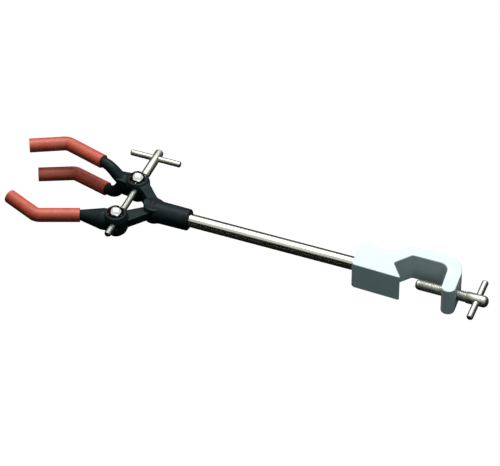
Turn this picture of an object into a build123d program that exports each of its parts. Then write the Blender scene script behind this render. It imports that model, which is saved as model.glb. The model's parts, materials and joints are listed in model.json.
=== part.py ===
from build123d import *
import math
import os

# A three-finger clamp with a boss head, all sizes in millimetres and degrees.
# X runs along the clamp's rod, from the fingers to the boss head, and Z is up.
# The origin is on the axis of the upright stand rod, at the height of the clamp's own rod.

# Boss head, seen from above: a block with a V seat, a web behind the throat, and the screw's arm
STAND_ROD_D = 12.0
SEAT_ANGLE = 102.0
SEAT_DEPTH = 10.0
SEAT_ROOT_R = 1.5
SEAT_LIP_R = 1.0
SEAT_HEEL_R = 2.2
BOSS_HEIGHT = 22.5
BLOCK_LENGTH = 28.5
BLOCK_WIDTH = 24.8
BLOCK_FLARE = 1.2
BLOCK_CORNER_R = 3.5
NECK_INSET = 1.2
NECK_BACK = 6.0
NECK_R = 6.0
WEB_THICKNESS = 10.4
WEB_START = 6.0
WEB_START_DROP = 1.4
WEB_START_R = 8.0
THROAT = 37.6
THROAT_CORNER_R = 7.5
ARM_THICKNESS = 10.2
ARM_REACH = 15.0
ARM_SPLAY = 5.5
ARM_END_R = 5.0
ARM_CORNER_R = 17.5
CAST_EDGE_R = 0.8

# Boss screw
BOSS_SCREW_D = 8.0
BOSS_SCREW_OFFSET = -3.8
BOSS_SCREW_TIP = 18.4
BOSS_SCREW_TIP_R = 2.4
BOSS_THREAD_LENGTH = 38.4
BOSS_HEAD_D = 8.6
BOSS_HEAD_LENGTH = 16.1
BOSS_HEAD_R = 3.4
BOSS_BAR_D = 5.0
BOSS_BAR_LENGTH = 36.5
BOSS_BAR_LEAN = 7.0
BOSS_BAR_INSET = 8.0

# Rod and the set screws that hold it
ROD_D = 10.0
ROD_SHOWN = 129.5
ROD_IN_BOSS = 20.0
ROD_IN_STEM = 18.0
ROD_CHAMFER = 0.6
GRUB_D = 5.0
GRUB_INSET = 0.3
GRUB_HEX = 2.5
GRUB_HEX_DEPTH = 1.3
BOSS_GRUB_BACK = 9.0
STEM_GRUB_BACK = 8.0

# Yoke stem, hub and the pivot in it
STEM_D = 16.8
STEM_END_D = 16.2
STEM_LENGTH = 29.0
STEM_EDGE_R = 1.2
HUB_NOSE = 7.0
PIVOT_PIN_D = 4.0
PIVOT_PIN_RECESS = 0.4
KNUCKLE_R = 5.0
KNUCKLE_HEIGHT = 7.0

# Jaw barrels, placed from the pivot, and the arms that carry them
BARREL_BACK = 20.9
BARREL_OUT = 20.6
BARREL_R = 9.2
BARREL_RIM_R = 7.8
BARREL_RIM_EDGE_R = 0.7
BARREL_SHOULDER_R = 3.0
BARREL_HEIGHT = 16.4
BARREL_WAIST = 9.0
FAR_ARM_HEIGHT = 13.0
FAR_ARM_OUTER_AT_BARREL = 7.0
FAR_ARM_OUTER_AT_HUB = 5.5
FAR_ARM_INNER = 1.4
NEAR_ARM_OUTER_AT_BARREL = 7.5
NEAR_ARM_OUTER_AT_KNUCKLE = 4.4
NEAR_ARM_INNER_AT_BARREL = 6.0
NEAR_ARM_INNER_AT_KNUCKLE = 2.6
JAW_CLOSE = 20.0
JAW_OPEN = 15.0
SWEEP_STEP = 7.0
ARM_BLEND_R = 6.0

# Swivels that the closing screw passes through
TRUNNION_D = 11.0
DOME_D = 13.0
DOME_HEIGHT = 4.8
TRUNNION_FLAT = 4.3
TRUNNION_FLAT_HEIGHT = 8.2
TRUNNION_TAIL = 2.2
CLIP_THICKNESS = 1.0
CLIP_WIDTH = 1.7
CLIP_MOUTH = 60.0
GROOVE_DEPTH = 0.6

# Closing screw, its ends placed from the rod's axis
SCREW_THREAD_D = 5.0
SCREW_HEAD_D = 6.8
SCREW_HEAD_END = 62.6
SCREW_TIP_END = 36.8
SCREW_END_R = 1.6
SCREW_CLIP_D = 7.8
SCREW_CLIP_THICKNESS = 0.8
SCREW_GROOVE_DEPTH = 0.5
WASHER_D = 7.8
WASHER_THICKNESS = 0.6
SCREW_BAR_D = 4.6
SCREW_BAR_LENGTH = 40.2
SCREW_BAR_INSET = 7.7
SCREW_SLOT_WIDTH = 10.6
SCREW_SLOT_HEIGHT = 8.6

# Fingers
CORE_D = 7.4
SLEEVE_WALL = 1.5
SLEEVE_OVERHANG = 3.0
FINGER_BEND_R = 7.0
FORK_RISE = 12.2
FORK_START_RISE = 2.5
FORK_ROOT_R = 5.0
NEAR_ROOT_R = 8.1
NEAR_ROOT_START = 10.0
FORK_PLATE_REACH = 15.5
FORK_PLATE_AT_BARREL = 7.0
FORK_PLATE_AT_END = 5.2
FORK_ROOT_START = 8.5
FORK_BEND_START = 17.0
FORK_BEND_END = 13.0
ROOT_END_R = 3.95
ROOT_OVERLAP = 1.5

# Clearances
FIXED_GAP = 0.01
RUNNING_GAP = 0.05
SIDE_GAP = 0.2
SWEEP_GAP = 0.4
SEAT_GAP = 0.05

# Finger routes in plan from the pivot: the sleeve's back end, the bend's corner, the sleeve's free end
NEAR_ROUTE = [(-47.9, -24.2), (-77.8, -36.0), (-104.0, -24.3)]
UPPER_ROUTE = [(-50.2, 24.2), (-82.6, 33.8), (-108.2, 20.9)]
LOWER_ROUTE = [(-46.9, 22.5), (-75.9, 30.3), (-101.0, 18.8)]

# Places that follow from the sizes
seat_half = math.radians(SEAT_ANGLE / 2)
seat_x = -STAND_ROD_D / 2 / math.sin(seat_half)
block_x = seat_x - BLOCK_LENGTH
stem_x = block_x - ROD_SHOWN
pivot_x = stem_x - STEM_LENGTH
barrel_x = pivot_x - BARREL_BACK
half_barrel = BARREL_HEIGHT / 2
slot_height = KNUCKLE_HEIGHT + 2 * SIDE_GAP
sleeve_bore_r = CORE_D / 2 + RUNNING_GAP
sleeve_r = sleeve_bore_r + SLEEVE_WALL
shoulder_y = BARREL_OUT + TRUNNION_FLAT + WASHER_THICKNESS + 2 * SEAT_GAP


def upright(radius, low, high, x=0.0, y=0.0):
    """A vertical round bar between two heights."""
    bar = Cylinder(radius, high - low, align=(Align.CENTER, Align.CENTER, Align.MIN))
    return Pos(x, y, low) * bar


def along_x(radius, start, end, y=0.0, z=0.0):
    """A round bar along X between two places."""
    bar = Cylinder(radius, end - start, align=(Align.CENTER, Align.CENTER, Align.MIN))
    return Pos(start, y, z) * Rot(0, 90, 0) * bar


def along_y(radius, start, end, x=0.0, z=0.0):
    """A round bar along Y between two places."""
    bar = Cylinder(radius, end - start, align=(Align.CENTER, Align.CENTER, Align.MIN))
    return Pos(x, start, z) * Rot(-90, 0, 0) * bar


def bar_with_round_ends(diameter, length):
    """A tommy bar along X about its middle."""
    bar = Rot(0, 90, 0) * Cylinder(diameter / 2, length)
    return fillet(bar.edges().filter_by(GeomType.CIRCLE), diameter * 0.3)


def smoothed_plan(shapes, blend):
    """Plan shapes joined into one, with its inner corners rounded."""
    joined = shapes[0]
    for shape in shapes[1:]:
        joined += shape
    grown = offset(joined, blend, kind=Kind.ARC)
    return offset(grown, -blend, kind=Kind.ARC)


def open_ring(inner, outer, thickness, mouth):
    """A retaining ring lying flat from Z 0 up, with a mouth of the given angle towards -Y."""
    ring = upright(outer, 0, thickness) - upright(inner, 0, thickness)
    reach = 2 * outer
    spread = reach * math.tan(math.radians(mouth / 2))
    wedge = make_face(Polyline((0, 0), (-spread, -reach), (spread, -reach), close=True))
    return ring - extrude(wedge, thickness)


# Boss head


def boss_plan():
    """The boss head's outline from above, each corner with its radius."""
    half = BLOCK_WIDTH / 2
    lip_x = seat_x + SEAT_DEPTH
    mouth = SEAT_DEPTH * math.tan(seat_half)
    web_y = mouth + WEB_THICKNESS
    lean = (mouth + ARM_REACH) * math.tan(math.radians(ARM_SPLAY))
    arm_x = seat_x + THROAT
    corners = [
        ((block_x, -half), BLOCK_CORNER_R),
        ((lip_x, -half - BLOCK_FLARE), SEAT_LIP_R),
        ((seat_x, 0), SEAT_ROOT_R),
        ((lip_x, mouth), SEAT_HEEL_R),
        ((arm_x, mouth), THROAT_CORNER_R),
        ((arm_x + lean, -ARM_REACH), ARM_END_R),
        ((arm_x + lean + ARM_THICKNESS, -ARM_REACH), ARM_END_R),
        ((arm_x + ARM_THICKNESS, web_y), ARM_CORNER_R),
        ((seat_x + WEB_START, web_y - WEB_START_DROP), WEB_START_R),
        ((seat_x - NECK_BACK, half - NECK_INSET), NECK_R),
        ((block_x, half), BLOCK_CORNER_R),
    ]
    points = [point for point, radius in corners]
    radii = [radius for point, radius in corners]
    return make_face(FilletPolyline(*points, radius=radii, close=True))


def make_boss_head():
    """The cast boss head, with its rod socket, screw hole and set screw hole."""
    body = extrude(boss_plan(), BOSS_HEIGHT / 2, both=True)
    rims = body.edges().filter_by(lambda edge: abs(abs(edge.center().Z) - BOSS_HEIGHT / 2) < 0.01)
    body = fillet(rims, CAST_EDGE_R)
    far_side = seat_x + THROAT + 3 * ARM_THICKNESS
    body -= along_x(ROD_D / 2 + FIXED_GAP, block_x, block_x + ROD_IN_BOSS)
    body -= along_x(BOSS_SCREW_D / 2 + RUNNING_GAP, seat_x + SEAT_DEPTH, far_side, BOSS_SCREW_OFFSET)
    body -= upright(GRUB_D / 2 + FIXED_GAP, -BOSS_HEIGHT, 0, block_x + BOSS_GRUB_BACK)
    return body


def boss_bar_x():
    """Where the boss screw's cross hole lies."""
    return seat_x + BOSS_SCREW_TIP + BOSS_THREAD_LENGTH + BOSS_HEAD_LENGTH - BOSS_BAR_INSET


def make_boss_screw():
    """The boss head's clamping screw, with a round tip and a cross-drilled head."""
    tip = seat_x + BOSS_SCREW_TIP
    neck = tip + BOSS_THREAD_LENGTH
    thread = along_x(BOSS_SCREW_D / 2, tip, neck)
    thread = fillet(thread.edges().group_by(Axis.X)[0], BOSS_SCREW_TIP_R)
    head = along_x(BOSS_HEAD_D / 2, neck, neck + BOSS_HEAD_LENGTH)
    head = fillet(head.edges().group_by(Axis.X)[-1], BOSS_HEAD_R)
    screw = Pos(0, BOSS_SCREW_OFFSET, 0) * (thread + head)
    hole = along_y(BOSS_BAR_D / 2 + FIXED_GAP, -BOSS_HEAD_D, BOSS_HEAD_D)
    return screw - Pos(boss_bar_x(), BOSS_SCREW_OFFSET, 0) * Rot(BOSS_BAR_LEAN, 0, 0) * hole


def make_boss_tommy_bar():
    """The bar fixed through the boss screw's head."""
    bar = Rot(0, 0, 90) * bar_with_round_ends(BOSS_BAR_D, BOSS_BAR_LENGTH)
    return Pos(boss_bar_x(), BOSS_SCREW_OFFSET, 0) * Rot(BOSS_BAR_LEAN, 0, 0) * bar


# Rod and set screws


def make_support_rod():
    """The bright rod between the boss head and the yoke."""
    rod = along_x(ROD_D / 2, stem_x - ROD_IN_STEM, block_x + ROD_IN_BOSS)
    return chamfer(rod.edges().filter_by(GeomType.CIRCLE), ROD_CHAMFER)


def make_grub_screw(x, surface_r):
    """A set screw from below, with a hex socket, that bears on the rod."""
    top = -ROD_D / 2 - SEAT_GAP
    bottom = -surface_r + GRUB_INSET
    screw = upright(GRUB_D / 2, bottom, top)
    socket = extrude(RegularPolygon(GRUB_HEX / 2, 6, major_radius=False), GRUB_HEX_DEPTH)
    return Pos(x, 0, 0) * (screw - Pos(0, 0, bottom) * socket)


# Jaws


def plan_frame(side):
    """Along and outward directions in plan, from a barrel to the pivot, on the +Y or -Y side."""
    length = math.hypot(BARREL_BACK, BARREL_OUT)
    along = Vector(BARREL_BACK, -side * BARREL_OUT) / length
    outward = Vector(BARREL_OUT, side * BARREL_BACK) / length
    return along, outward, length


def arm_plan(side, outer, inner):
    """An arm in plan from a barrel to the pivot, with its half widths at each end."""
    along, outward, length = plan_frame(side)
    start = Vector(barrel_x, side * BARREL_OUT)
    end = start + along * length
    corners = [
        start + outward * outer[0],
        end + outward * outer[1],
        end - outward * inner[1],
        start - outward * inner[0],
    ]
    return make_face(Polyline(*corners, close=True))


def make_barrel():
    """A jaw's barrel about the vertical axis, widest at its waist."""
    half_waist = BARREL_WAIST / 2
    outline = FilletPolyline(
        (0, -half_barrel),
        (BARREL_RIM_R, -half_barrel),
        (BARREL_R, -half_waist),
        (BARREL_R, half_waist),
        (BARREL_RIM_R, half_barrel),
        (0, half_barrel),
        radius=[BARREL_RIM_EDGE_R, BARREL_SHOULDER_R, BARREL_SHOULDER_R, BARREL_RIM_EDGE_R],
    )
    face = make_face(Plane.XZ * (outline + Line((0, half_barrel), (0, -half_barrel))))
    return revolve(face, Axis.Z)


def barrel_cuts():
    """The swivel's bore and the closing screw's slot through a barrel."""
    bore = upright(TRUNNION_D / 2 + RUNNING_GAP, -BARREL_HEIGHT, BARREL_HEIGHT)
    slot = SlotOverall(SCREW_SLOT_WIDTH, SCREW_SLOT_HEIGHT)
    return bore + extrude(Plane.XZ * slot, 2 * BARREL_R, both=True)


def end_face_room():
    """The room above and below a barrel that its swivel's dome and ring turn in."""
    radius = DOME_D / 2 + SIDE_GAP
    return upright(radius, half_barrel, STEM_D) + upright(radius, -STEM_D, -half_barrel)


def place_at_barrel(shape, side):
    """A shape made about the origin, moved to a barrel's axis."""
    return Pos(barrel_x, side * BARREL_OUT, 0) * shape


def finger_route(route, height, from_back, from_tip):
    """A finger's middle line, lengthened at its back and shortened at its tip."""
    back, bend, tip = [Vector(pivot_x + x, y, height) for x, y in route]
    start = back - (bend - back).normalized() * from_back
    end = tip - (tip - bend).normalized() * from_tip
    return FilletPolyline(start, bend, end, radius=FINGER_BEND_R)


def swept_along(route, section):
    """A section swept along a finger's route."""
    line = route.edges()[0]
    return sweep(Plane(origin=line @ 0, z_dir=line % 0) * section, route)


def make_core(route, height):
    """The cast finger inside a sleeve."""
    return swept_along(finger_route(route, height, ROOT_OVERLAP, SLEEVE_OVERHANG), Circle(CORE_D / 2))


def make_sleeve(route, height):
    """A bent plastic tube over a finger, open at both ends."""
    section = Circle(sleeve_r) - Circle(sleeve_bore_r)
    return swept_along(finger_route(route, height, 0, 0), section)


def horn(start, middle, bend, tip, radii):
    """A round root that curves from the jaw to a finger, through four guide points."""
    guide = Bezier(start, middle, bend, tip)
    steps = len(radii) - 1
    sections = [
        Plane(origin=guide @ (i / steps), z_dir=guide % (i / steps)) * Circle(radius)
        for i, radius in enumerate(radii)
    ]
    return loft(sections)


def make_fork_root(route, sign):
    """One root of the far jaw's fork, rising or falling from its plate to a finger."""
    back, bend = [Vector(pivot_x + x, y, sign * FORK_RISE) for x, y in route[:2]]
    heading = (bend - back).normalized()
    start = Vector(barrel_x - FORK_ROOT_START, BARREL_OUT, sign * FORK_START_RISE)
    middle = Vector(barrel_x - FORK_BEND_START, BARREL_OUT, sign * FORK_START_RISE)
    before = back - heading * FORK_BEND_END
    shrink = (FORK_ROOT_R - ROOT_END_R) / 5
    radii = [FORK_ROOT_R - shrink * step for step in range(6)]
    return horn(start, middle, before, back - heading * SEAT_GAP, radii)


def make_near_root():
    """The near jaw's round root, tapering from the barrel to its finger."""
    back, bend = [Vector(pivot_x + x, y, 0) for x, y in NEAR_ROUTE[:2]]
    barrel = Vector(barrel_x, -BARREL_OUT, 0)
    heading = (back - barrel).normalized()
    wide = Plane(origin=barrel + heading * NEAR_ROOT_START, z_dir=heading) * Circle(NEAR_ROOT_R)
    onward = (bend - back).normalized()
    narrow = Plane(origin=back - onward * SEAT_GAP, z_dir=onward) * Circle(ROOT_END_R)
    inside = Plane(origin=barrel, z_dir=heading) * Circle(NEAR_ROOT_R)
    return loft([wide, narrow], ruled=True) + loft([inside, wide], ruled=True)


def make_stem():
    """The yoke's stem, a slightly tapered round bar with a nose rounded about the pivot."""
    taper = Cone(STEM_D / 2, STEM_END_D / 2, STEM_LENGTH, align=(Align.CENTER, Align.CENTER, Align.MIN))
    stem = Pos(pivot_x, 0, 0) * Rot(0, 90, 0) * taper
    stem = fillet(stem.edges().group_by(Axis.X)[-1], STEM_EDGE_R)
    nose = along_x(STEM_D / 2, pivot_x - HUB_NOSE, pivot_x)
    nose &= upright(STEM_D / 2, -STEM_D, STEM_D, pivot_x - HUB_NOSE + STEM_D / 2)
    return stem + nose


def near_jaw_plan():
    """The near jaw's knuckle, arm and barrel in plan."""
    circle_at_barrel = Pos(barrel_x, -BARREL_OUT, 0) * Circle(BARREL_RIM_R)
    knuckle = Pos(pivot_x, 0, 0) * Circle(KNUCKLE_R)
    outer = (NEAR_ARM_OUTER_AT_BARREL, NEAR_ARM_OUTER_AT_KNUCKLE)
    inner = (NEAR_ARM_INNER_AT_BARREL, NEAR_ARM_INNER_AT_KNUCKLE)
    return smoothed_plan([arm_plan(-1, outer, inner), circle_at_barrel, knuckle], ARM_BLEND_R)


def hub_slot():
    """The room in the hub that the near jaw's knuckle and arm sweep through."""
    reach = Pos(pivot_x, 0, 0) * Circle(STEM_D)
    room = offset(near_jaw_plan(), SWEEP_GAP, kind=Kind.ARC) & reach
    room = Pos(-pivot_x, 0, 0) * room
    steps = round((JAW_CLOSE + JAW_OPEN) / SWEEP_STEP)
    swept = Rot(0, 0, -JAW_CLOSE) * room
    for step in range(1, steps + 1):
        turn = -JAW_CLOSE + (JAW_CLOSE + JAW_OPEN) * step / steps
        swept += Rot(0, 0, turn) * room
    return Pos(pivot_x, 0, 0) * extrude(swept, slot_height / 2, both=True)


def fork_plate_plan():
    """The plate in plan that joins the far barrel to the roots of its two fingers."""
    end_x = barrel_x - FORK_PLATE_REACH
    corners = [
        (barrel_x, BARREL_OUT - FORK_PLATE_AT_BARREL),
        (barrel_x, BARREL_OUT + FORK_PLATE_AT_BARREL),
        (end_x, BARREL_OUT + FORK_PLATE_AT_END),
        (end_x, BARREL_OUT - FORK_PLATE_AT_END),
    ]
    return make_face(Polyline(*corners, close=True))


def make_yoke():
    """The one-piece casting of the stem, hub, far arm, far barrel and fork."""
    circle_at_barrel = Pos(barrel_x, BARREL_OUT, 0) * Circle(BARREL_RIM_R)
    circle_at_hub = Pos(pivot_x + 1, 0, 0) * Circle(STEM_D / 2 - 1)
    outer = (FAR_ARM_OUTER_AT_BARREL, FAR_ARM_OUTER_AT_HUB)
    arm = arm_plan(1, outer, (FAR_ARM_INNER, FAR_ARM_INNER))
    shapes = [arm, circle_at_barrel, circle_at_hub, fork_plate_plan()]
    yoke = extrude(smoothed_plan(shapes, ARM_BLEND_R), FAR_ARM_HEIGHT / 2, both=True)
    yoke += make_stem()
    yoke += place_at_barrel(make_barrel(), 1)
    for route, sign in ((UPPER_ROUTE, 1), (LOWER_ROUTE, -1)):
        yoke += make_fork_root(route, sign)
        yoke += make_core(route, sign * FORK_RISE)
    yoke -= place_at_barrel(barrel_cuts() + end_face_room(), 1)
    yoke -= hub_slot()
    yoke -= upright(PIVOT_PIN_D / 2 + FIXED_GAP, -STEM_D, STEM_D, pivot_x)
    yoke -= along_x(ROD_D / 2 + FIXED_GAP, stem_x - ROD_IN_STEM, stem_x)
    yoke -= upright(GRUB_D / 2 + FIXED_GAP, -STEM_D, 0, stem_x - STEM_GRUB_BACK)
    return yoke


def make_near_jaw():
    """The near jaw in one casting: knuckle, arm, barrel and finger."""
    jaw = extrude(near_jaw_plan(), KNUCKLE_HEIGHT / 2, both=True)
    jaw += place_at_barrel(make_barrel(), -1)
    jaw += make_near_root()
    jaw += make_core(NEAR_ROUTE, 0)
    jaw -= place_at_barrel(barrel_cuts() + end_face_room(), -1)
    jaw -= upright(PIVOT_PIN_D / 2 + RUNNING_GAP, -STEM_D, STEM_D, pivot_x)
    return jaw


def make_pivot_pin():
    """The pin that the near jaw swings on, set a little below the hub's faces."""
    half = STEM_D / 2 - PIVOT_PIN_RECESS
    return upright(PIVOT_PIN_D / 2, -half, half, pivot_x)


# Swivels


def make_trunnion(side):
    """A dome-headed swivel, flat on two sides, drilled across for the closing screw."""
    sphere_r = (DOME_D * DOME_D / 4 + DOME_HEIGHT * DOME_HEIGHT) / (2 * DOME_HEIGHT)
    base = half_barrel + SEAT_GAP
    ball = Pos(0, 0, base + DOME_HEIGHT - sphere_r) * Sphere(sphere_r)
    dome = ball & upright(DOME_D / 2, base, base + DOME_HEIGHT + 1)
    tail = -half_barrel - TRUNNION_TAIL
    shank = upright(TRUNNION_D / 2, tail, base)
    trunnion = dome + shank
    block = Box(2 * TRUNNION_D, TRUNNION_D, TRUNNION_FLAT_HEIGHT)
    for way in (-1, 1):
        trunnion -= Pos(0, way * (TRUNNION_FLAT + TRUNNION_D / 2), 0) * block
    trunnion -= along_y(SCREW_THREAD_D / 2 + RUNNING_GAP, -TRUNNION_D, TRUNNION_D)
    groove_top = -half_barrel - SEAT_GAP
    groove_low = groove_top - CLIP_THICKNESS - SEAT_GAP
    groove = upright(TRUNNION_D, groove_low, groove_top)
    groove -= upright(TRUNNION_D / 2 - GROOVE_DEPTH, groove_low, groove_top)
    return place_at_barrel(trunnion - groove, side)


def make_trunnion_clip(side):
    """The retaining ring in a swivel's groove, under its barrel."""
    inner = TRUNNION_D / 2 - GROOVE_DEPTH + FIXED_GAP
    ring = open_ring(inner, inner + CLIP_WIDTH, CLIP_THICKNESS, CLIP_MOUTH)
    low = -half_barrel - 1.5 * SEAT_GAP - CLIP_THICKNESS
    return place_at_barrel(Pos(0, 0, low) * ring, side)


# Closing screw


def make_closing_screw():
    """The long screw: plain and thick to its shoulder, threaded from there to its tip."""
    head = along_y(SCREW_HEAD_D / 2, shoulder_y, SCREW_HEAD_END)
    head = fillet(head.edges().group_by(Axis.Y)[-1], SCREW_END_R)
    thread = along_y(SCREW_THREAD_D / 2, -SCREW_TIP_END, shoulder_y)
    thread = chamfer(thread.edges().group_by(Axis.Y)[0], SCREW_GROOVE_DEPTH)
    screw = head + thread
    screw -= along_x(SCREW_BAR_D / 2 + FIXED_GAP, -SCREW_HEAD_D, SCREW_HEAD_D, SCREW_HEAD_END - SCREW_BAR_INSET)
    high = BARREL_OUT - TRUNNION_FLAT - SEAT_GAP / 2
    low = high - SCREW_CLIP_THICKNESS - SEAT_GAP
    groove = along_y(SCREW_THREAD_D, low, high) - along_y(SCREW_THREAD_D / 2 - SCREW_GROOVE_DEPTH, low, high)
    return Pos(barrel_x, 0, 0) * (screw - groove)


def make_closing_screw_clip():
    """The ring that keeps the closing screw in the far swivel."""
    inner = SCREW_THREAD_D / 2 - SCREW_GROOVE_DEPTH + FIXED_GAP
    ring = open_ring(inner, SCREW_CLIP_D / 2, SCREW_CLIP_THICKNESS, CLIP_MOUTH)
    low = BARREL_OUT - TRUNNION_FLAT - SEAT_GAP - SCREW_CLIP_THICKNESS
    return Pos(barrel_x, low, 0) * Rot(-90, 0, 0) * ring


def make_closing_screw_washer():
    """The thrust washer between the screw's shoulder and the far swivel."""
    low = BARREL_OUT + TRUNNION_FLAT + SEAT_GAP
    high = low + WASHER_THICKNESS
    washer = along_y(WASHER_D / 2, low, high) - along_y(SCREW_THREAD_D / 2 + RUNNING_GAP, low, high)
    return Pos(barrel_x, 0, 0) * washer


def make_closing_tommy_bar():
    """The bar fixed through the closing screw's head."""
    return Pos(barrel_x, SCREW_HEAD_END - SCREW_BAR_INSET, 0) * bar_with_round_ends(SCREW_BAR_D, SCREW_BAR_LENGTH)


PIECES = {
    "boss_head": make_boss_head(),
    "boss_screw": make_boss_screw(),
    "boss_tommy_bar": make_boss_tommy_bar(),
    "boss_grub_screw": make_grub_screw(block_x + BOSS_GRUB_BACK, BOSS_HEIGHT / 2),
    "support_rod": make_support_rod(),
    "stem_grub_screw": make_grub_screw(stem_x - STEM_GRUB_BACK, STEM_END_D / 2),
    "yoke": make_yoke(),
    "near_jaw": make_near_jaw(),
    "pivot_pin": make_pivot_pin(),
    "far_trunnion": make_trunnion(1),
    "near_trunnion": make_trunnion(-1),
    "far_trunnion_clip": make_trunnion_clip(1),
    "near_trunnion_clip": make_trunnion_clip(-1),
    "closing_screw": make_closing_screw(),
    "closing_screw_clip": make_closing_screw_clip(),
    "closing_screw_washer": make_closing_screw_washer(),
    "closing_tommy_bar": make_closing_tommy_bar(),
    "far_upper_sleeve": make_sleeve(UPPER_ROUTE, FORK_RISE),
    "far_lower_sleeve": make_sleeve(LOWER_ROUTE, -FORK_RISE),
    "near_sleeve": make_sleeve(NEAR_ROUTE, 0),
}

os.makedirs("parts", exist_ok=True)
for name, piece in PIECES.items():
    export_step(piece, f"parts/{name}.step")
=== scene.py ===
"""Studio scene of a three-finger laboratory clamp on its boss head.

The castings, rods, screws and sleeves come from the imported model. This script
dresses each of them, cuts the threads of the two screws, rounds the corners of
the two black castings, and sets the camera, the lamps, the floor and the black
cards that the metal reflects.
"""

import json
import logging
import math
from dataclasses import dataclass, field
from enum import Enum
from typing import Callable, ClassVar

import bmesh
import bpy
from mathutils import Matrix, Vector

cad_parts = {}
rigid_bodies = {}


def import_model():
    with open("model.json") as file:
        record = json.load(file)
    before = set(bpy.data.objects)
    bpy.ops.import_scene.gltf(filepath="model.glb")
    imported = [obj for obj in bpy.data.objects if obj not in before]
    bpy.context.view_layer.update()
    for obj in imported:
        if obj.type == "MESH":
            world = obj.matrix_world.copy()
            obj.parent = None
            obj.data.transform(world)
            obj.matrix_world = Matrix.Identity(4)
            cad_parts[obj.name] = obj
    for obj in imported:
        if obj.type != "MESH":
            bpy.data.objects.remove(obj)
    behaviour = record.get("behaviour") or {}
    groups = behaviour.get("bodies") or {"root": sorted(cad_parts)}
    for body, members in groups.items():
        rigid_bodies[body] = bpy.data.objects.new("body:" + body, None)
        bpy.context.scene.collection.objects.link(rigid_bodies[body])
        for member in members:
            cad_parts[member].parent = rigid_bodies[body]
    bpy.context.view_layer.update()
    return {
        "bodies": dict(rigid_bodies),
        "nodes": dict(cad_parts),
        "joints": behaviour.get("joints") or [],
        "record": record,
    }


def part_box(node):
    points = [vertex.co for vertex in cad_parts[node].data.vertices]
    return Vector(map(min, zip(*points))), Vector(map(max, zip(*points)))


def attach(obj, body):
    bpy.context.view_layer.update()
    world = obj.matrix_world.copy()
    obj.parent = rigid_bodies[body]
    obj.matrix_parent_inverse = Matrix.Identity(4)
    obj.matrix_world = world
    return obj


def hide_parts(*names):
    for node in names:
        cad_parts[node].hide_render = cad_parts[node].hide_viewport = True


LOG = logging.getLogger("clamp")
MM = 0.001
QUARTER_TURN = math.pi / 2
WHITE = "#FFFFFF"
Point = tuple[float, float, float]
Colour = tuple[float, float, float, float]
Span = tuple[float, float]
Ring = tuple[float, Callable[[float], float]]


class Body(Enum):
    """The rigid bodies that a rebuilt piece can ride on."""

    FRAME = "clamp_frame"
    NEAR_JAW = "near_jaw"
    CLOSING_SCREW = "closing_screw"
    BOSS_SCREW = "boss_screw"


class Slot(Enum):
    """Names of two of the record's material slots."""

    BLACK_CASTING = "black_casting"
    PLATED_SCREW = "plated_screw"


def linear(hex_colour: str) -> Colour:
    """Turns an sRGB hex colour to the linear colour that shaders take.

    Args:
        hex_colour: Six hex digits after a hash sign.

    Returns:
        The linear red, green and blue, and an alpha of 1.
    """
    channels = [int(hex_colour[i : i + 2], 16) / 255 for i in (1, 3, 5)]
    # The threshold, slope, offset and power are those of the sRGB standard.
    red, green, blue = (
        c / 12.92 if c <= 0.04045 else ((c + 0.055) / 1.055) ** 2.4 for c in channels
    )
    return red, green, blue, 1.0


def add_node(
    tree: bpy.types.NodeTree,
    kind: str,
    settings: dict[str, object] | None = None,
    sockets: dict[str | int, object] | None = None,
) -> bpy.types.Node:
    """Adds a shader node with its settings, constants and links.

    Args:
        tree: The node tree that gets the node.
        kind: Blender's name of the node's type.
        settings: Properties of the node itself.
        sockets: Inputs by name or number, each a constant or an output socket.

    Returns:
        The new node.
    """
    node = tree.nodes.new(kind)
    for name, value in (settings or {}).items():
        setattr(node, name, value)
    for name, value in (sockets or {}).items():
        if isinstance(value, bpy.types.NodeSocket):
            tree.links.new(value, node.inputs[name])
        else:
            node.inputs[name].default_value = value
    return node


def blank_material(name: str) -> tuple[bpy.types.Material, bpy.types.NodeTree]:
    """Makes a material whose node tree is still empty.

    Args:
        name: Name of the material.

    Returns:
        The material and its node tree.
    """
    material = bpy.data.materials.new(name)
    material.use_nodes = True
    material.node_tree.nodes.clear()
    return material, material.node_tree


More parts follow.
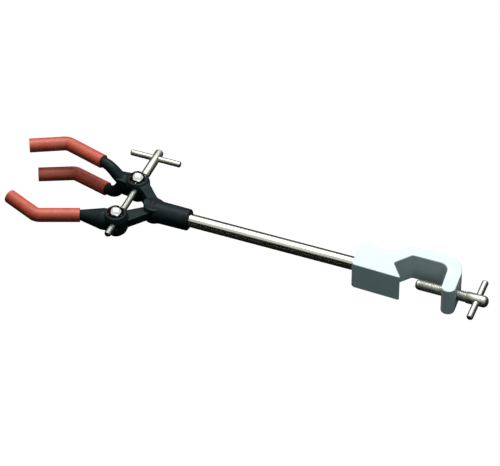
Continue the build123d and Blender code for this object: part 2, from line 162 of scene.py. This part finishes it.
@dataclass(frozen=True)
class Finish:
    """A surface made from one shader, with what every finish here shares.

    Attributes:
        name: Name of the material.
        colour: Its main sRGB colour.
        tint: The sRGB colour of its blotches.
        roughness: Its roughness where the grain is low and where it is high.
        mottle_mm: Size of a blotch of colour.
        grain_mm: Size of a grain of roughness and relief.
        relief_mm: Height of the relief.
        edge_mm: Radius that the edges are shaded with.
        metallic: 1 for a metal and 0 for the rest.
        ior: Index of refraction, which a metal leaves at the default.
        specular: Level of the surface's reflection.
        subsurface: Share of the light that scatters inside.
        stretch: Scale of the noise on each axis, under 1 where it is drawn out.
    """

    MOTTLE_OCTAVES: ClassVar[float] = 3.0
    GRAIN_OCTAVES: ClassVar[float] = 2.0
    MOTTLE_SPAN: ClassVar[Span] = (0.35, 0.68)
    GRAIN_SPAN: ClassVar[Span] = (0.3, 0.7)
    EDGE_SAMPLES: ClassVar[int] = 6
    SCATTER_MM: ClassVar[Point] = (1.2, 0.4, 0.3)

    name: str
    colour: str
    tint: str
    roughness: Span
    mottle_mm: float
    grain_mm: float
    relief_mm: float
    edge_mm: float
    metallic: float = 0.0
    ior: float = 1.5
    specular: float = 0.5
    subsurface: float = 0.0
    stretch: Point = (1.0, 1.0, 1.0)

    def build(self) -> bpy.types.Material:
        """Builds the material.

        Returns:
            A material with colour, roughness and relief from noise of real sizes.
        """
        material, tree = blank_material(self.name)
        place = add_node(tree, "ShaderNodeTexCoord").outputs["Object"]
        mottle = self.noise(tree, place, self.mottle_mm, self.MOTTLE_OCTAVES)
        grain = self.noise(tree, place, self.grain_mm, self.GRAIN_OCTAVES)
        colour = self.blend(tree, mottle)
        rough = add_node(
            tree,
            "ShaderNodeMapRange",
            sockets={
                "Value": grain,
                "From Min": self.GRAIN_SPAN[0],
                "From Max": self.GRAIN_SPAN[1],
                "To Min": self.roughness[0],
                "To Max": self.roughness[1],
            },
        )
        edge = add_node(
            tree,
            "ShaderNodeBevel",
            {"samples": self.EDGE_SAMPLES},
            {"Radius": self.edge_mm * MM},
        )
        relief = add_node(
            tree,
            "ShaderNodeBump",
            sockets={
                "Strength": 1.0,
                "Distance": self.relief_mm * MM,
                "Height": grain,
                "Normal": edge.outputs["Normal"],
            },
        )
        sockets: dict[str | int, object] = {
            "Base Color": colour,
            "Roughness": rough.outputs["Result"],
            "Normal": relief.outputs["Normal"],
            "Metallic": self.metallic,
            "Specular IOR Level": self.specular,
        }
        if not self.metallic:
            sockets["IOR"] = self.ior
        if self.subsurface:
            sockets["Subsurface Weight"] = self.subsurface
            sockets["Subsurface Radius"] = tuple(r * MM for r in self.SCATTER_MM)
            sockets["Subsurface Scale"] = 1.0
        shader = add_node(tree, "ShaderNodeBsdfPrincipled", sockets=sockets)
        add_node(
            tree,
            "ShaderNodeOutputMaterial",
            sockets={"Surface": shader.outputs["BSDF"]},
        )
        return material

    def noise(
        self,
        tree: bpy.types.NodeTree,
        place: bpy.types.NodeSocket,
        size_mm: float,
        octaves: float,
    ) -> bpy.types.NodeSocket:
        """Adds noise whose blotches are of a real size.

        Args:
            tree: The material's node tree.
            place: Coordinates in metres.
            size_mm: Size of a blotch.
            octaves: How many times the noise is made finer.

        Returns:
            The noise's grey output.
        """
        scale = add_node(
            tree,
            "ShaderNodeMapping",
            sockets={"Vector": place, "Scale": self.stretch},
        )
        noise = add_node(
            tree,
            "ShaderNodeTexNoise",
            sockets={
                "Vector": scale.outputs["Vector"],
                "Scale": 1 / (size_mm * MM),
                "Detail": octaves,
            },
        )
        return noise.outputs["Fac"]

    def blend(
        self, tree: bpy.types.NodeTree, value: bpy.types.NodeSocket
    ) -> bpy.types.NodeSocket:
        """Blends the finish's two colours by a noise.

        Args:
            tree: The material's node tree.
            value: The noise, low for the main colour and high for the tint.

        Returns:
            The blended colour.
        """
        ramp = add_node(tree, "ShaderNodeValToRGB", sockets={"Fac": value})
        stops = zip(
            ramp.color_ramp.elements, self.MOTTLE_SPAN, (self.colour, self.tint)
        )
        for stop, position, hex_colour in stops:
            stop.position, stop.color = position, linear(hex_colour)
        return ramp.outputs["Color"]


# Powder coat on a die casting: an even pale grey, whose fine stipple keeps the
# highlights broad.
BOSS_COAT = Finish(
    name="powder_coated_die_casting",
    colour="#C9D6D8",
    tint="#D1DCDE",
    roughness=(0.42, 0.55),
    mottle_mm=9.0,
    grain_mm=0.8,
    relief_mm=0.03,
    edge_mm=0.5,
)

# Stoved black enamel on rough iron: a satin black that leans to green-blue and
# reflects little. Iron's own grain is finer, and is drawn at 2.4 mm to show.
# The index and specular level lie below enamel's usual 1.5 and 0.5, to match
# how dull the real castings look.
BLACK_ENAMEL = Finish(
    name="black_enamelled_iron",
    colour="#121B1C",
    tint="#192526",
    roughness=(0.42, 0.56),
    mottle_mm=5.0,
    grain_mm=2.4,
    relief_mm=0.04,
    edge_mm=0.4,
    ior=1.38,
    specular=0.14,
)

# Drawn and nickelled bar: a warm grey mirror with faint lines along its length.
# The real lines lie closer together, and are drawn 0.5 mm apart to show.
BRIGHT_ROD = Finish(
    name="drawn_nickelled_steel",
    colour="#C3C4B6",
    tint="#B4B6A8",
    roughness=(0.14, 0.26),
    mottle_mm=3.0,
    grain_mm=0.5,
    relief_mm=0.004,
    edge_mm=0.3,
    metallic=1.0,
    stretch=(0.04, 1.0, 1.0),
)

# Turned and chromed domes: a clean bright mirror with a trace of polishing haze.
CHROME = Finish(
    name="chromed_turned_steel",
    colour="#D6DAD6",
    tint="#C8CCC8",
    roughness=(0.07, 0.14),
    mottle_mm=4.0,
    grain_mm=0.9,
    relief_mm=0.003,
    edge_mm=0.25,
    metallic=1.0,
)

# Zinc-plated screws and bars: duller and greyer than the chrome, evenly hazy.
PLATED = Finish(
    name="zinc_plated_steel",
    colour="#ABAEA4",
    tint="#979B92",
    roughness=(0.34, 0.46),
    mottle_mm=2.5,
    grain_mm=0.6,
    relief_mm=0.006,
    edge_mm=0.3,
    metallic=1.0,
)

# Oil-blackened rings, set screws and pin: a near-black metal with a dull glint.
BLACKENED = Finish(
    name="oil_blackened_steel",
    colour="#26282A",
    tint="#1B1D1E",
    roughness=(0.34, 0.5),
    mottle_mm=1.5,
    grain_mm=0.4,
    relief_mm=0.006,
    edge_mm=0.15,
    metallic=1.0,
)

# Extruded PVC tube, formed over the fingers by heat: brick red, softly shiny,
# and a little translucent.
RED_VINYL = Finish(
    name="extruded_red_pvc",
    colour="#AA442E",
    tint="#B8523B",
    roughness=(0.46, 0.6),
    mottle_mm=7.0,
    grain_mm=1.1,
    relief_mm=0.02,
    edge_mm=0.45,
    ior=1.53,
    subsurface=0.12,
)


def coat(piece: bpy.types.Object, material: bpy.types.Material) -> None:
    """Gives a piece one material in every slot it has, or in a new one.

    Args:
        piece: The piece.
        material: Its material.
    """
    if not piece.material_slots:
        piece.data.materials.append(material)
    for place in piece.material_slots:
        place.link = "OBJECT"
        place.material = material


def mesh_piece(name: str, shape: bmesh.types.BMesh) -> bpy.types.Object:
    """Turns a built shape into a smooth-shaded object.

    Args:
        name: Name of the piece.
        shape: The shape, in metres, freed here.

    Returns:
        The object, linked to the scene.
    """
    bmesh.ops.recalc_face_normals(shape, faces=shape.faces)
    mesh = bpy.data.meshes.new(name)
    shape.to_mesh(mesh)
    shape.free()
    mesh.shade_smooth()
    piece = bpy.data.objects.new(name, mesh)
    bpy.context.scene.collection.objects.link(piece)
    return piece


@dataclass
class SoftCasting:
    """A casting with the rounded inner and outer corners that a mould leaves.

    Attributes:
        node: The node that it stands for.
        body: The body that it rides on.
        slot: The record's slot for the casting's finish; not used.
        voxel_mm: Size of the cells that its new skin is made from.
        rounds: How many times the skin is smoothed.
        ease: How far one smoothing moves a point, from 0 to 1.
        pin_bore_mm: Radius of the pivot pin's bore.
    """

    node: str
    body: Body
    slot: Slot
    voxel_mm: float
    rounds: int = 6
    ease: float = 0.5
    pin_bore_mm: float = 2.12

    def open_bore(self, mesh: bpy.types.Mesh) -> None:
        """Moves the bore's wall back to its radius, clear of the pin.

        Args:
            mesh: The softened mesh, changed in place.
        """
        low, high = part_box("pivot_pin")
        middle = (low + high) / 2
        radius = self.pin_bore_mm * MM
        for vertex in mesh.vertices:
            out = Vector((vertex.co.x - middle.x, vertex.co.y - middle.y, 0.0))
            if 0.0 < out.length < radius:
                vertex.co += out * (radius / out.length - 1.0)

    def build(self, frame: dict, material: bpy.types.Material) -> bpy.types.Object:
        """Rounds a copy of the casting and puts it in the node's place.

        Args:
            material: The casting's finish.

        Returns:
            The softened piece.
        """
        sharp = frame["nodes"][self.node].data.copy()
        piece = bpy.data.objects.new(f"{self.node}_casting", sharp)
        bpy.context.scene.collection.objects.link(piece)
        remesh = piece.modifiers.new("skin", "REMESH")
        remesh.mode = "VOXEL"
        remesh.voxel_size = self.voxel_mm * MM
        remesh.use_smooth_shade = True
        smooth = piece.modifiers.new("mould", "SMOOTH")
        smooth.factor = self.ease
        smooth.iterations = self.rounds
        evaluated = piece.evaluated_get(bpy.context.evaluated_depsgraph_get())
        mesh = bpy.data.meshes.new_from_object(evaluated)
        self.open_bore(mesh)
        piece.modifiers.clear()
        piece.data = mesh
        mesh.materials.clear()
        coat(piece, material)
        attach(piece, self.body.value)
        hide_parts(self.node)
        return piece


@dataclass
class ThreadedScrew:
    """A screw turned from bar: a threaded shank and a thicker round-ended head.

    Lengths are in millimetres, and run along the screw's own axis.

    Attributes:
        name: Name of the piece.
        node: The node that it stands for.
        body: The body that it rides on.
        turn: Takes the screw from the X axis to its own.
        tip: Where the shank starts.
        shoulder: Where the head starts.
        end: Where the head ends.
        thread_d: Diameter over the thread.
        head_d: Diameter of the head.
        pitch: The thread's pitch.
        tip_r: Radius of the tip's rounding.
        end_r: Radius of the end's rounding.
        groove: From where to where a ring's groove runs, if it has one.
        groove_d: Diameter in the groove.
        sides: How many points go round.
        steps: How many rings one pitch gets.
    """

    # Shares of the pitch: how deep a metric thread is, and how far inside the
    # thread's crest the tip's edge lies.
    THREAD_DEPTH: ClassVar[float] = 0.54
    TIP_INSET: ClassVar[float] = 0.3
    # The share of that depth that is cut here, and how steeply a flank rises to
    # its crest over one pitch.
    CUT_SHARE: ClassVar[float] = 0.9
    FLANK_SLOPE: ClassVar[float] = 2.5
    # The head's chamfer in millimetres, and the rings in each rounded end.
    CHAMFER: ClassVar[float] = 0.25
    TIP_STEPS: ClassVar[int] = 6
    END_STEPS: ClassVar[int] = 12

    name: str
    node: str
    body: Body
    turn: Matrix
    tip: float
    shoulder: float
    end: float
    thread_d: float
    head_d: float
    pitch: float
    tip_r: float
    end_r: float
    groove: Span | None = None
    groove_d: float = 0.0
    sides: int = 56
    steps: int = 10

    def radius(self, along: float, angle: float) -> float:
        """Gives the shank's radius in millimetres where the thread passes.

        Args:
            along: Place along the axis in millimetres.
            angle: Angle about the axis in radians.

        Returns:
            The radius there.
        """
        if self.groove and self.groove[0] <= along <= self.groove[1]:
            return self.groove_d / 2
        phase = (along / self.pitch - angle / math.tau) % 1.0
        rise = self.FLANK_SLOPE / 2 - self.FLANK_SLOPE * abs(phase - 0.5)
        ridge = min(1.0, max(0.0, rise))
        lead_in = min(1.0, (along - self.tip) / self.pitch)
        depth = self.THREAD_DEPTH * self.pitch
        return self.thread_d / 2 - depth * (1 - ridge * lead_in) * self.CUT_SHARE

    def rings(self) -> list[Ring]:
        """Lists the screw's rings from tip to end.

        Returns:
            Each ring's place along the axis and its radius by angle.
        """
        rings: list[Ring] = []
        core = self.thread_d / 2 - self.TIP_INSET * self.pitch
        for i in range(self.TIP_STEPS + 1):
            turn = QUARTER_TURN * i / self.TIP_STEPS
            r = core - self.tip_r * (1 - math.sin(turn))
            along = self.tip + self.tip_r * (1 - math.cos(turn))
            rings.append((along, lambda a, r=r: r))
        place = self.tip + self.tip_r
        step = self.pitch / self.steps
        while place < self.shoulder - step:
            place += step
            rings.append((place, lambda a, p=place: self.radius(p, a)))
        head = self.head_d / 2
        for along, r in (
            (0.0, self.thread_d / 2),
            (0.0, head - self.CHAMFER),
            (self.CHAMFER, head),
        ):
            rings.append((self.shoulder + along, lambda a, r=r: r))
        for i in range(self.END_STEPS + 1):
            turn = QUARTER_TURN * i / self.END_STEPS
            r = head - self.end_r * (1 - math.cos(turn))
            along = self.end - self.end_r * (1 - math.sin(turn))
            rings.append((along, lambda a, r=r: r))
        return rings

    def build(self, material: bpy.types.Material) -> bpy.types.Object:
        """Builds the screw and puts it in its node's place.

        Args:
            material: The screw's finish.

        Returns:
            The screw.
        """
        shape = bmesh.new()
        angles = [math.tau * i / self.sides for i in range(self.sides)]
        rows = [
            [
                shape.verts.new(
                    self.turn
                    @ Vector((place, radius(a) * math.cos(a), radius(a) * math.sin(a)))
                    * MM
                )
                for a in angles
            ]
            for place, radius in self.rings()
        ]
        for low, high in zip(rows, rows[1:]):
            for i in range(self.sides):
                j = (i + 1) % self.sides
                shape.faces.new((low[i], low[j], high[j], high[i]))
        shape.faces.new(rows[0])
        shape.faces.new(rows[-1])
        piece = mesh_piece(self.name, shape)
        coat(piece, material)
        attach(piece, self.body.value)
        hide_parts(self.node)
        return piece


@dataclass
class Clamp:
    """The whole clamp: which finish each piece wears and which are rebuilt.

    Attributes:
        castings: The castings that get softer corners.
        finishes: The finish of each node.
        boss_thread_mm: Length of the boss screw's threaded shank.
        groove_play_mm: How far the long screw's groove passes its ring's faces.
    """

    frame: dict
    castings: list[SoftCasting] = field(
        default_factory=lambda: [
            SoftCasting("yoke", Body.FRAME, Slot.BLACK_CASTING, voxel_mm=0.42),
            SoftCasting("near_jaw", Body.NEAR_JAW, Slot.BLACK_CASTING, voxel_mm=0.4),
        ]
    )
    finishes: dict[str, Finish] = field(
        default_factory=lambda: {
            "boss_head": BOSS_COAT,
            "support_rod": BRIGHT_ROD,
            "boss_tommy_bar": PLATED,
            "closing_tommy_bar": PLATED,
            "closing_screw_washer": CHROME,
            "far_trunnion": CHROME,
            "near_trunnion": CHROME,
            "pivot_pin": BLACKENED,
            "boss_grub_screw": BLACKENED,
            "stem_grub_screw": BLACKENED,
            "far_trunnion_clip": BLACKENED,
            "near_trunnion_clip": BLACKENED,
            "closing_screw_clip": BLACKENED,
            "near_sleeve": RED_VINYL,
            "far_upper_sleeve": RED_VINYL,
            "far_lower_sleeve": RED_VINYL,
            "yoke": BLACK_ENAMEL,
            "near_jaw": BLACK_ENAMEL,
            "boss_screw": PLATED,
            "closing_screw": PLATED,
        }
    )
    boss_thread_mm: float = 38.4
    groove_play_mm: float = 0.05

    def screws(self) -> list[ThreadedScrew]:
        """Gives the two threaded screws, placed by their nodes' boxes.

        Returns:
            The boss screw and the closing screw.
        """
        boss_low, boss_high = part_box("boss_screw")
        low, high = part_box("closing_screw")
        boss_y = (boss_low.y + boss_high.y) / 2 / MM
        long_x = (low.x + high.x) / 2 / MM
        washer_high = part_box("closing_screw_washer")[1].y / MM
        clip_low, clip_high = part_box("closing_screw_clip")
        return [
            ThreadedScrew(
                name="boss_screw_cut",
                node="boss_screw",
                body=Body.BOSS_SCREW,
                turn=Matrix.Translation((0, boss_y, 0)),
                tip=boss_low.x / MM,
                shoulder=boss_low.x / MM + self.boss_thread_mm,
                end=boss_high.x / MM,
                thread_d=8.0,
                head_d=8.6,
                pitch=1.25,
                tip_r=2.2,
                end_r=3.4,
            ),
            ThreadedScrew(
                name="closing_screw_cut",
                node="closing_screw",
                body=Body.CLOSING_SCREW,
                turn=Matrix.Translation((long_x, 0, 0))
                @ Matrix.Rotation(QUARTER_TURN, 4, "Z"),
                tip=low.y / MM,
                shoulder=washer_high,
                end=high.y / MM,
                thread_d=5.0,
                head_d=6.8,
                pitch=0.8,
                tip_r=0.6,
                end_r=1.6,
                groove=(
                    clip_low.y / MM - self.groove_play_mm,
                    clip_high.y / MM + self.groove_play_mm,
                ),
                groove_d=4.0,
                sides=40,
                steps=8,
            ),
        ]

    def build(self) -> None:
        """Dresses every node and builds the pieces that replace some of them."""
        kinds = dict.fromkeys(self.finishes.values())
        made = {finish: finish.build() for finish in kinds}
        for node, finish in self.finishes.items():
            coat(self.frame["nodes"][node], made[finish])
            LOG.info("%s wears %s", node, finish.name)
        for casting in self.castings:
            piece = casting.build(self.frame, made[BLACK_ENAMEL])
            LOG.info("%s has %d faces", piece.name, len(piece.data.polygons))
        for screw in self.screws():
            piece = screw.build(made[PLATED])
            LOG.info("%s has %d faces", piece.name, len(piece.data.polygons))


@dataclass(frozen=True)
class SoftBox:
    """A lamp with a wide white face.

    Attributes:
        name: Name of the lamp.
        place: Its place in metres.
        width: Its width in metres.
        height: Its height in metres.
        watts: Its power.
        colour: Its sRGB hex colour.
    """

    name: str
    place: Point
    width: float
    height: float
    watts: float
    colour: str = WHITE

    def hang(self, target: Vector) -> None:
        """Hangs the lamp, facing a point.

        Args:
            target: The point, in metres.
        """
        data = bpy.data.lights.new(self.name, "AREA")
        data.shape = "RECTANGLE"
        data.size = self.width
        data.size_y = self.height
        data.energy = self.watts
        data.color = linear(self.colour)[:3]
        lamp = bpy.data.objects.new(self.name, data)
        bpy.context.scene.collection.objects.link(lamp)
        lamp.location = self.place
        aim = target - Vector(self.place)
        lamp.rotation_mode = "QUATERNION"
        lamp.rotation_quaternion = aim.to_track_quat("-Z", "Y")


@dataclass
class Studio:
    """Camera, lamps, floor and the black cards that the metal reflects.

    Angles are in degrees. A length is in metres where its name doesn't say mm.

    Attributes:
        azimuth: The camera's turn from the front.
        elevation: Its angle above the level.
        distance_mm: Its distance from the point that it looks at.
        pixels_per_mm: Size of the photograph's pixels at that point.
        target_mm: The point that it looks at.
        frame_width_px: Width of the photograph.
        sensor_mm: Width of the camera's sensor.
        sight: How far the camera sees.
        lamps: The soft boxes.
        sky_light: How strongly the world lights the object.
        floor_mm: The floor's height.
        floor_half: Half of the floor's side.
        floor_colour: The floor's paper.
        floor_glow: How brightly the floor shows itself.
        floor_glow_share: How much of what the camera sees of it is that glow.
        card_distance: How far each side card stands from the clamp.
        card_height: How tall a side card is.
        card_colour: The cards' felt.
        low_card: Middle of the card that lies below the clamp.
        low_card_size: Its width and depth.
    """

    SIDES: ClassVar[tuple[float, ...]] = (0.0, 90.0, 180.0, 270.0)

    azimuth: float = 21.6
    elevation: float = 41.75
    distance_mm: float = 2500.0
    pixels_per_mm: float = 1.3754
    target_mm: Point = (-119.7, 3.18, 0.0)
    frame_width_px: int = 500
    sensor_mm: float = 36.0
    sight: float = 20.0
    lamps: tuple[SoftBox, ...] = (
        SoftBox("key", (-0.25, 0.35, 1.3), width=1.1, height=0.9, watts=27.5),
        SoftBox(
            "fill",
            (0.9, -1.5, 0.9),
            width=0.9,
            height=0.9,
            watts=4.4,
            colour="#CCFAFC",
        ),
    )
    sky_light: float = 0.17
    floor_mm: float = -120.0
    floor_half: float = 8.0
    floor_colour: str = "#8F8F8F"
    floor_glow: float = 1.14
    floor_glow_share: float = 0.86
    card_distance: float = 0.55
    card_height: float = 0.47
    card_colour: str = "#1C1E1C"
    low_card: Point = (-0.12, 0.0, -0.115)
    low_card_size: Span = (1.6, 1.0)

    def build(self) -> None:
        """Sets up the whole studio."""
        bpy.context.scene.view_settings.view_transform = "Standard"
        self.camera()
        self.world()
        self.floor()
        for lamp in self.lamps:
            lamp.hang(Vector(self.target_mm) * MM)
        for turn in self.SIDES:
            self.side_card(f"side_flag_{turn:.0f}", turn)
        self.card("low_flag", self.low_card, self.low_card_size, Matrix())

    def camera(self) -> None:
        """Places the camera at the photograph's angle."""
        a, e = math.radians(self.azimuth), math.radians(self.elevation)
        back = Vector(
            (math.sin(a) * math.cos(e), -math.cos(a) * math.cos(e), math.sin(e))
        )
        data = bpy.data.cameras.new("camera")
        data.sensor_width = self.sensor_mm
        focal_px = self.pixels_per_mm * self.distance_mm
        data.lens = focal_px / self.frame_width_px * data.sensor_width
        data.clip_end = self.sight
        camera = bpy.data.objects.new("camera", data)
        bpy.context.scene.collection.objects.link(camera)
        camera.location = Vector(self.target_mm) * MM + back * self.distance_mm * MM
        camera.rotation_mode = "QUATERNION"
        camera.rotation_quaternion = (-back).to_track_quat("-Z", "Y")
        bpy.context.scene.camera = camera

    def seen(
        self, tree: bpy.types.NodeTree, low: float, high: float
    ) -> bpy.types.NodeSocket:
        """Adds a value for camera, glossy and transmission rays, and one for the rest.

        Args:
            tree: The floor's or the world's node tree.
            low: The value for the rays that only light the object.
            high: The value for the rays that show the background.

        Returns:
            The value's output.
        """
        path = add_node(tree, "ShaderNodeLightPath").outputs
        largest = {"operation": "MAXIMUM"}
        shown = {0: path["Is Camera Ray"], 1: path["Is Glossy Ray"]}
        pair = add_node(tree, "ShaderNodeMath", largest, shown).outputs[0]
        shown = {0: pair, 1: path["Is Transmission Ray"]}
        either = add_node(tree, "ShaderNodeMath", largest, shown).outputs[0]
        value = add_node(
            tree,
            "ShaderNodeMapRange",
            sockets={"Value": either, "To Min": low, "To Max": high},
        )
        return value.outputs["Result"]

    def world(self) -> None:
        """Lights the object softly from all round, before a white background."""
        world = bpy.data.worlds.new("studio")
        bpy.context.scene.world = world
        world.use_nodes = True
        tree = world.node_tree
        tree.nodes.clear()
        strength = self.seen(tree, self.sky_light, 1.0)
        sky = add_node(
            tree,
            "ShaderNodeBackground",
            sockets={"Color": linear(WHITE), "Strength": strength},
        )
        add_node(
            tree,
            "ShaderNodeOutputWorld",
            sockets={"Surface": sky.outputs["Background"]},
        )

    def floor(self) -> None:
        """Lays a pale floor that is white to the camera and still takes a shadow."""
        shape = bmesh.new()
        bmesh.ops.create_grid(
            shape, x_segments=1, y_segments=1, size=self.floor_half
        )
        floor = mesh_piece("floor", shape)
        floor.location.z = self.floor_mm * MM
        material, tree = blank_material("paper_sweep")
        paper = add_node(
            tree, "ShaderNodeBsdfDiffuse", sockets={"Color": linear(self.floor_colour)}
        )
        glow = add_node(
            tree,
            "ShaderNodeEmission",
            sockets={"Color": linear(WHITE), "Strength": self.floor_glow},
        )
        # The camera sees the glow as 0.98 of white, and the paper takes the shadow.
        share = self.seen(tree, 0.0, self.floor_glow_share)
        mixed = add_node(
            tree,
            "ShaderNodeMixShader",
            sockets={"Fac": share, 1: paper.outputs[0], 2: glow.outputs[0]},
        )
        add_node(
            tree, "ShaderNodeOutputMaterial", sockets={"Surface": mixed.outputs[0]}
        )
        coat(floor, material)

    def side_card(self, name: str, turn: float) -> None:
        """Stands a low black card on one side of the clamp, at its level.

        Args:
            name: Name of the card.
            turn: The side it stands on, in degrees from the front.
        """
        round_z = Matrix.Rotation(math.radians(turn), 3, "Z")
        level = self.card_height / 2 + self.floor_mm * MM
        middle = Vector((self.target_mm[0] * MM, 0.0, level))
        place = middle + round_z @ Vector((0.0, -self.card_distance, 0.0))
        upright = round_z @ Matrix.Rotation(QUARTER_TURN, 3, "X")
        size = (2 * self.card_distance, self.card_height)
        self.card(name, tuple(place), size, upright)

    def card(self, name: str, place: Point, size: Span, facing: Matrix) -> None:
        """Sets a black card out of the camera's sight, for metal to reflect.

        Args:
            name: Name of the card.
            place: Its middle, in metres.
            size: Its width and height, in metres.
            facing: Its turn from lying flat.
        """
        shape = bmesh.new()
        # A grid's size is half of its side, so this is one metre square.
        bmesh.ops.create_grid(shape, x_segments=1, y_segments=1, size=0.5)
        card = mesh_piece(name, shape)
        card.scale = (*size, 1.0)
        card.rotation_euler = facing.to_euler()
        card.location = place
        card.visible_camera = False
        card.visible_shadow = False
        material, tree = blank_material(name)
        felt = add_node(
            tree, "ShaderNodeBsdfDiffuse", sockets={"Color": linear(self.card_colour)}
        )
        add_node(
            tree, "ShaderNodeOutputMaterial", sockets={"Surface": felt.outputs[0]}
        )
        coat(card, material)


def main() -> None:
    """Loads the frame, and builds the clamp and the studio."""
    logging.basicConfig(level=logging.INFO, format="%(name)s: %(message)s")
    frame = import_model()
    Studio().build()
    Clamp(frame).build()


if __name__ == "__main__":
    main()
